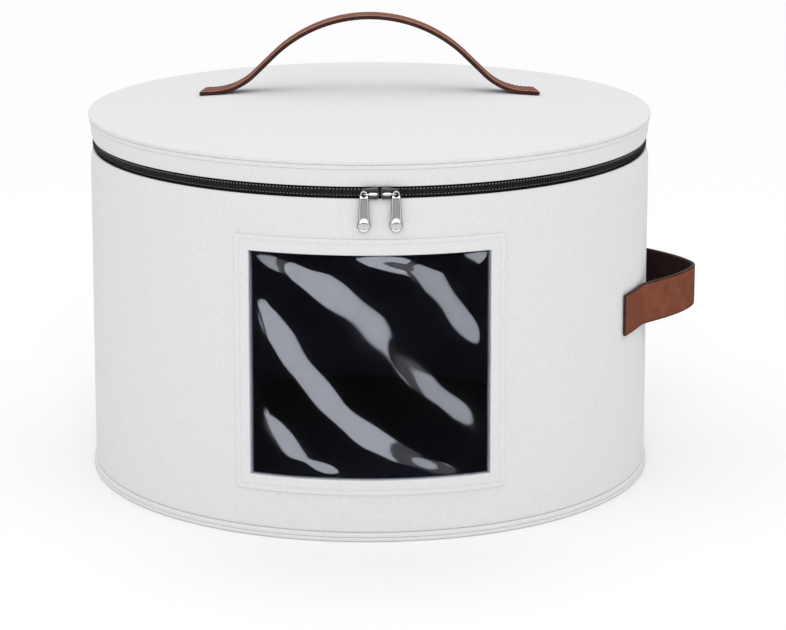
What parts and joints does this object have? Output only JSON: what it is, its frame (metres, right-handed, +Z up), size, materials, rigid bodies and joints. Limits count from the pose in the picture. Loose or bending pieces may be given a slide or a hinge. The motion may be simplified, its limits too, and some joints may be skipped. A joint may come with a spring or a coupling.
{
  "type": "hat box",
  "caption": "Round felt hat box with a zipped lid on a cloth hinge, a clear front window, a leather top handle and a side strap.",
  "frame": {"origin": "centre of the base's underside, on the surface that the box stands on", "axes": "+Z up, the window faces -Y, the side strap is on +X"},
  "size_m": [0.4732, 0.4375, 0.349],
  "materials": {
    "white_felt": "white pressed felt, matte",
    "dark_lining": "dark woven lining, matte",
    "grey_board": "stiffening board, matte",
    "clear_film": "clear soft film, glossy",
    "leather": "brown leather, semi-matte",
    "zip_tape": "black woven tape",
    "zip_teeth": "black coil, satin",
    "zip_metal": "bright plated metal"
  },
  "bodies": {
    "box": {"wall_felt": "white_felt", "wall_board": "grey_board", "wall_lining": "dark_lining", "window_frame": "white_felt", "window_film": "clear_film", "base_felt": "white_felt", "base_hem": "white_felt", "base_board": "grey_board", "base_lining": "dark_lining", "lower_zip_tape": "zip_tape", "lower_zip_coil": "zip_teeth", "lower_hinge_cloth": "white_felt", "zip_stop_left": "zip_metal", "zip_stop_right": "zip_metal", "side_strap_root_front": "leather", "side_strap_root_rear": "leather"},
    "lid": {"lid_felt": "white_felt", "lid_board": "grey_board", "lid_lining": "dark_lining", "lid_hem": "white_felt", "lid_band": "white_felt", "lid_band_lining": "dark_lining", "upper_zip_tape": "zip_tape", "upper_zip_coil": "zip_teeth", "upper_hinge_cloth": "white_felt", "handle_foot_left": "leather", "handle_foot_right": "leather"},
    "top_handle": {"top_handle_arch": "leather"},
    "side_strap": {"side_strap_loop": "leather"},
    "slider_left": {"slider_body_left": "zip_metal", "slider_bail_left": "zip_metal"},
    "slider_right": {"slider_body_right": "zip_metal", "slider_bail_right": "zip_metal"},
    "puller_left": {"puller_left": "zip_metal"},
    "puller_right": {"puller_right": "zip_metal"}
  },
  "joints": [
    {"name": "lid_hinge", "type": "hinge", "parent": "box", "child": "lid", "pos_m": [0, 0.2148, 0.256], "axis": [-1, 0, 0], "range_deg": [0, 165]},
    {"name": "top_handle_lean", "type": "hinge", "parent": "lid", "child": "top_handle", "pos_m": [0, 0.016, 0.2888], "axis": [1, 0, 0], "range_deg": [-25, 25], "stiffness_Nm_per_rad": 0.6},
    {"name": "side_strap_droop", "type": "hinge", "parent": "box", "child": "side_strap", "pos_m": [0.22151, 0, 0.139], "axis": [0, 1, 0], "range_deg": [-12, 12], "stiffness_Nm_per_rad": 0.5},
    {"name": "slider_left_travel", "type": "hinge", "parent": "box", "child": "slider_left", "pos_m": [0, 0, 0.256], "axis": [0, 0, -1], "range_deg": [0, 154]},
    {"name": "slider_right_travel", "type": "hinge", "parent": "box", "child": "slider_right", "pos_m": [0, 0, 0.256], "axis": [0, 0, 1], "range_deg": [0, 151]},
    {"name": "puller_left_lift", "type": "hinge", "parent": "slider_left", "child": "puller_left", "pos_m": [-0.00419, -0.2176, 0.256], "axis": [-1, -0.0005, 0], "range_deg": [0, 45]},
    {"name": "puller_right_lift", "type": "hinge", "parent": "slider_right", "child": "puller_right", "pos_m": [0.01845, -0.21686, 0.256], "axis": [-0.9979, -0.0651, 0], "range_deg": [0, 45]}
  ]
}
